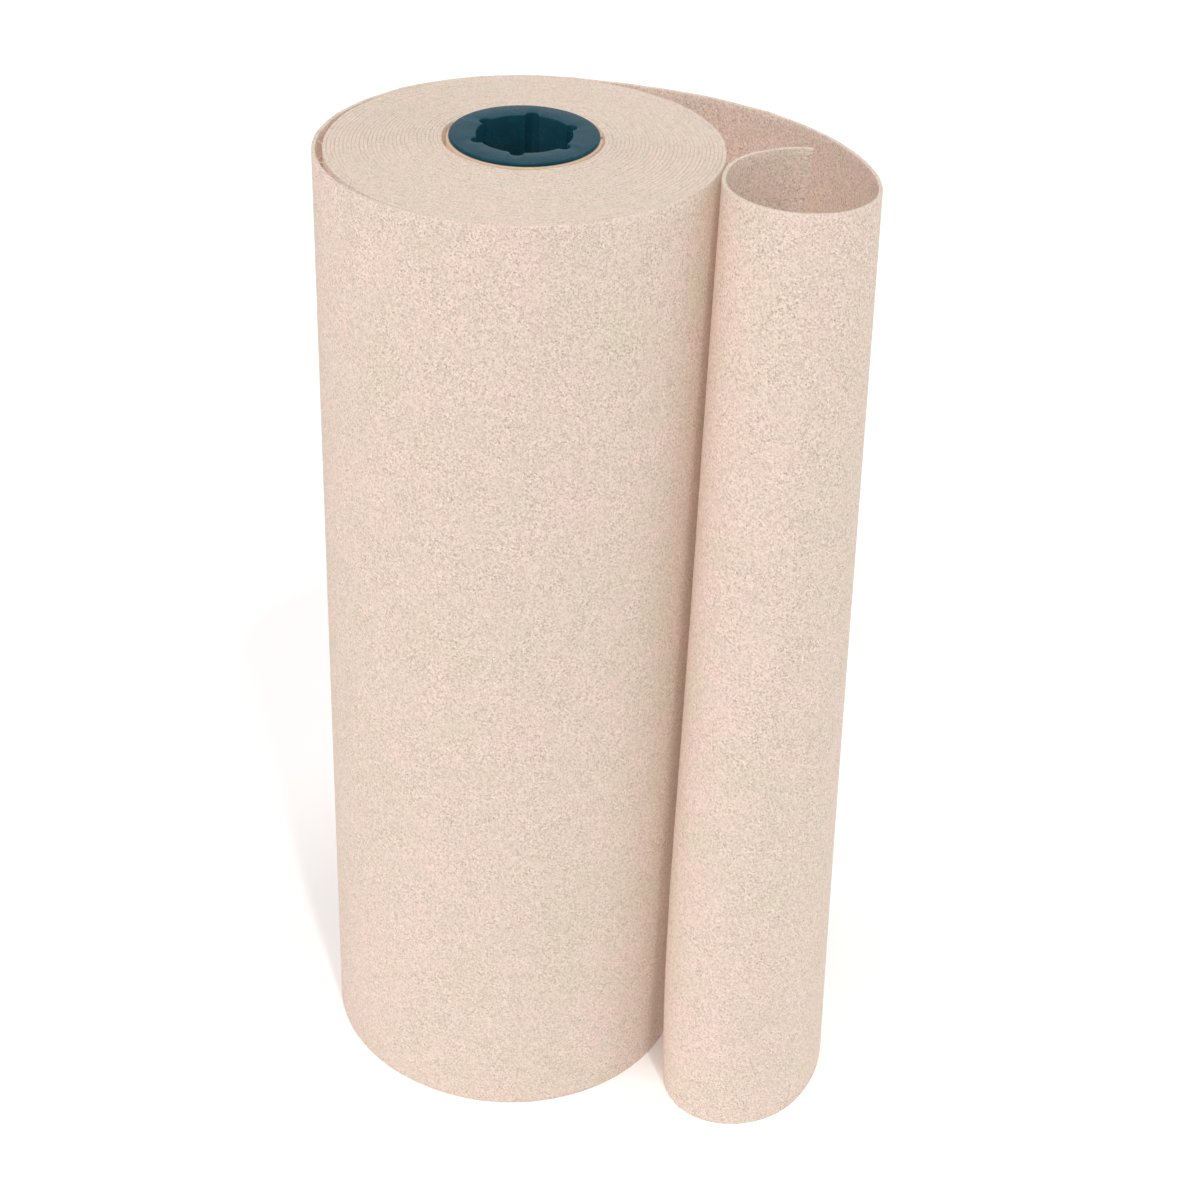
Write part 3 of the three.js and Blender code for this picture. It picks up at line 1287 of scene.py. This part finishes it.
    def dress(self) -> None:
        self.threads.dress()
        hidden_fuzz, shown_fuzz = self.fuzz
        tie(self.tight, Slot.CARPET, "wound_roll")
        tie(hidden_fuzz, Slot.CARPET)
        tie(self.shown, Slot.CARPET, "loose_end")
        tie(shown_fuzz, Slot.CARPET)


# The core


@dataclass
class BoardTube:
    """The tube that the carpet is wound on."""

    axis: Vector
    outer_radius: float = 69 * MM
    inner_radius: float = 63 * MM
    worn_edge: float = 0.7 * MM
    segments: int = 144
    levels: int = 12
    finish: SpiralBoard = field(default_factory=SpiralBoard)

    def build(self) -> None:
        """Makes the tube with its worn ends."""
        low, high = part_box("core_tube")
        worn = self.worn_edge
        rise = (high.z - low.z - 2 * worn) / self.levels
        heights = [low.z + worn + rise * i for i in range(self.levels + 1)]
        profile = [(self.outer_radius - worn, low.z)]
        profile += [(self.outer_radius, height) for height in heights]
        profile += [(self.outer_radius - worn, high.z), (self.inner_radius + worn, high.z)]
        profile += [(self.inner_radius, height) for height in reversed(heights)]
        profile += [(self.inner_radius + worn, low.z)]
        angles = [math.tau * k / self.segments for k in range(self.segments)]
        rings = [
            [Vector((radius * math.cos(a), radius * math.sin(a), height)) for a in angles]
            for radius, height in profile
        ]
        self.tube = ring_shell("board_tube", rings)
        place_on_axis(self.tube, self.axis)

    def dress(self) -> None:
        """Gives the tube its board and ties it to the model."""
        self.tube.data.materials.append(self.finish.material())
        tie(self.tube, Slot.BOARD, "core_tube")


@dataclass(frozen=True)
class WallRing:
    """One ring of the plug's wall: its outline, its radius or its distance off the bore, its height."""

    outline: Outline
    reach: float
    height: float


@dataclass
class MouldedPlug:
    """The plug: a flange on the tube's end, a notched sleeve for the spindle, and a seating collar.

    Its first notch lies notch_turn degrees anticlockwise from +X.
    """

    axis: Vector
    flange_radius: float = 66.8 * MM
    flange_thickness: float = 3 * MM
    bore_radius: float = 42.7 * MM
    notch_reach: float = 49.5 * MM
    notch_width: float = 12 * MM
    notch_count: int = 6
    notch_turn: float = 24
    sleeve_wall: float = 3 * MM
    sleeve_depth: float = 62 * MM
    collar_radius: float = 62.7 * MM
    collar_wall: float = 3 * MM
    collar_depth: float = 26 * MM
    rim_rounding: float = 1.3 * MM
    lip_rounding: float = 0.9 * MM
    foot_rounding: float = 0.5 * MM
    draft: float = 0.35 * MM
    notch_steps: int = 12
    bore_steps: int = 14
    rounding_steps: int = 4
    finish: MouldedPlastic = field(default_factory=MouldedPlastic)

    def notched(self, off_bore: float) -> list[tuple[float, float]]:
        """The bore's outline with its round-ended notches.

        Args:
            off_bore: How far the outline is moved outwards.

        Returns:
            Points round an axis at the origin.
        """
        bore = self.bore_radius + off_bore
        half = self.notch_width / 2 + off_bore
        centre = self.notch_reach - self.notch_width / 2
        edge = math.asin(half / bore)
        apart = math.tau / self.notch_count
        points = []
        for i in range(self.notch_count):
            middle = math.radians(self.notch_turn) + i * apart
            for k in range(self.notch_steps + 1):
                angle = middle + math.pi * (k / self.notch_steps - 0.5)
                points.append(
                    (
                        centre * math.cos(middle) + half * math.cos(angle),
                        centre * math.sin(middle) + half * math.sin(angle),
                    )
                )
            for k in range(self.bore_steps):
                angle = middle + edge + (apart - 2 * edge) * k / self.bore_steps
                points.append((bore * math.cos(angle), bore * math.sin(angle)))
        return points

    def points_of(self, ring: WallRing) -> list[Vector]:
        """Points of one ring, as many and at the same angles for both outlines.

        Args:
            ring: The ring.

        Returns:
            The points, round an axis at the origin.
        """
        if ring.outline is Outline.NOTCHED:
            flat = self.notched(ring.reach)
        else:
            angles = [math.atan2(y, x) for x, y in self.notched(0.0)]
            flat = [(ring.reach * math.cos(a), ring.reach * math.sin(a)) for a in angles]
        return [Vector((x, y, ring.height)) for x, y in flat]

    def wall(self) -> list[WallRing]:
        """Lays out the plug's wall.

        Returns:
            Its rings from the flange's top outwards, down, and back up inside the bore.
        """
        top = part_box("core_plug")[1].z
        seat = top - self.flange_thickness
        root = seat + self.flange_thickness / 2
        collar_foot = root - self.collar_depth
        sleeve_foot = root - self.sleeve_depth
        foot, lip, rim = self.foot_rounding, self.lip_rounding, self.rim_rounding
        inner_collar = self.collar_radius - self.collar_wall
        quarter = [math.pi / 2 * i / self.rounding_steps for i in range(self.rounding_steps + 1)]
        rings = [WallRing(Outline.NOTCHED, lip, top)]
        rings += [
            WallRing(
                Outline.ROUND,
                self.flange_radius - rim + rim * math.sin(a),
                top - rim + rim * math.cos(a),
            )
            for a in quarter
        ]
        rings += [
            WallRing(Outline.ROUND, self.flange_radius, seat + foot),
            WallRing(Outline.ROUND, self.flange_radius - foot, seat),
            WallRing(Outline.ROUND, self.collar_radius, seat),
            WallRing(Outline.ROUND, self.collar_radius - self.draft, collar_foot + foot),
            WallRing(Outline.ROUND, self.collar_radius - self.draft - foot, collar_foot),
            WallRing(Outline.ROUND, inner_collar + foot, collar_foot),
            WallRing(Outline.ROUND, inner_collar, collar_foot + foot),
            WallRing(Outline.ROUND, inner_collar, seat),
            WallRing(Outline.NOTCHED, self.sleeve_wall, seat),
            WallRing(Outline.NOTCHED, self.sleeve_wall - self.draft, sleeve_foot + foot),
            WallRing(Outline.NOTCHED, self.sleeve_wall - self.draft - foot, sleeve_foot),
            WallRing(Outline.NOTCHED, foot, sleeve_foot),
            WallRing(Outline.NOTCHED, 0.0, sleeve_foot + foot),
        ]
        rings += [
            WallRing(Outline.NOTCHED, lip - lip * math.cos(a), top - lip + lip * math.sin(a))
            for a in quarter[:-1]
        ]
        return rings

    def build(self) -> None:
        """Makes the plug as one closed shell."""
        self.plug = ring_shell("moulded_plug", [self.points_of(ring) for ring in self.wall()])
        place_on_axis(self.plug, self.axis)

    def dress(self) -> None:
        """Gives the plug its plastic and ties it to the model."""
        self.plug.data.materials.append(self.finish.material())
        tie(self.plug, Slot.PLUG, "core_plug")


# The studio


@dataclass(frozen=True)
class Lamp:
    """A far studio light: where it comes from, how wide it looks, in degrees, its strength and tint.

    An open fill casts no shadow, as a wall of light all round the front would.
    """

    name: str
    azimuth: float
    elevation: float
    spread: float
    strength: float
    tint: str
    casts_shadow: bool = True


@dataclass
class Studio:
    """A plain pale floor, soft lights and the camera.

    The camera's place is measured from the foot of the roll's axis. Its place and its right, up and
    back directions were fitted to the object's outlines.
    """

    axis: Vector
    lens: float = 67.22
    sensor: float = 36
    camera_place: tuple[float, float, float] = (0.08228, -1.85724, 1.76949)
    camera_right: tuple[float, float, float] = (0.999224, 0.0219761, 0.0326869)
    camera_up: tuple[float, float, float] = (-0.0393876, 0.5575126, 0.8292336)
    camera_back: tuple[float, float, float] = (0.0, -0.8298776, 0.5579455)
    floor_size: float = 60
    sky: str = "#FFFFFF"
    sky_strength: float = 0.15
    lamps: tuple[Lamp, ...] = (
        Lamp("key", -70, 55, 3, 0.65, "#F8FFFD"),
        Lamp("overhead", -90, 84, 25, 1.4, "#FFFEFD"),
        Lamp("high left fill", -172, 52, 30, 0.35, "#FFFEFD"),
        Lamp("right fill", 0, 15, 60, 0.75, "#FFFEFD"),
        Lamp("back fill", 90, 25, 60, 0.6, "#FFFEFD"),
        Lamp("open right fill", -20, 12, 60, 0.78, "#FFE6E4", casts_shadow=False),
        Lamp("open left fill", -138, 12, 60, 1.5, "#FFEBEA", casts_shadow=False),
    )

    def build(self) -> None:
        """Makes the floor, the lights and the camera."""
        mesh = bpy.data.meshes.new("studio_floor")
        half = self.floor_size / 2
        corners = [(-half, -half, 0), (half, -half, 0), (half, half, 0), (-half, half, 0)]
        mesh.from_pydata(corners, [], [(0, 1, 2, 3)])
        self.floor = new_object("studio_floor", mesh)
        for lamp in self.lamps:
            light = bpy.data.lights.new(lamp.name, "SUN")
            light.angle = math.radians(lamp.spread)
            light.energy = lamp.strength
            light.color = linear(lamp.tint)[:3]
            light.use_shadow = lamp.casts_shadow
            stand = new_object(lamp.name, light)
            tilt = math.radians(90 - lamp.elevation)
            stand.rotation_euler = (tilt, 0.0, math.radians(lamp.azimuth + 90))
        camera = bpy.data.cameras.new("camera")
        camera.lens = self.lens
        camera.sensor_width = self.sensor
        eye = new_object("camera", camera)
        turned = Matrix((self.camera_right, self.camera_up, self.camera_back)).transposed().to_4x4()
        eye.matrix_world = Matrix.Translation(self.axis + Vector(self.camera_place)) @ turned
        bpy.context.scene.camera = eye

    def dress(self) -> None:
        """Gives the floor its paper and the world its soft light."""
        self.floor.data.materials.append(StudioPaper().material())
        world = bpy.data.worlds.new("soft_studio")
        world.use_nodes = True
        world.node_tree.nodes.clear()
        glow = add_node(
            world.node_tree,
            "ShaderNodeBackground",
            {"Color": linear(self.sky), "Strength": self.sky_strength},
        )
        add_node(world.node_tree, "ShaderNodeOutputWorld", {0: glow.outputs[0]})
        bpy.context.scene.world = world
        bpy.context.scene.view_settings.view_transform = "Standard"


def main() -> None:
    """Builds and dresses the roll, its core and the studio."""
    logging.basicConfig(level=logging.INFO, format="%(message)s")
    low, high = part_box("core_tube")
    axis = (low + high) / 2
    axis.z = 0.0
    for assembly in (Studio(axis), BoardTube(axis), MouldedPlug(axis), Carpet(axis)):
        assembly.build()
        assembly.dress()
        LOG.info("%s done", type(assembly).__name__)


if __name__ == "__main__":
    main()
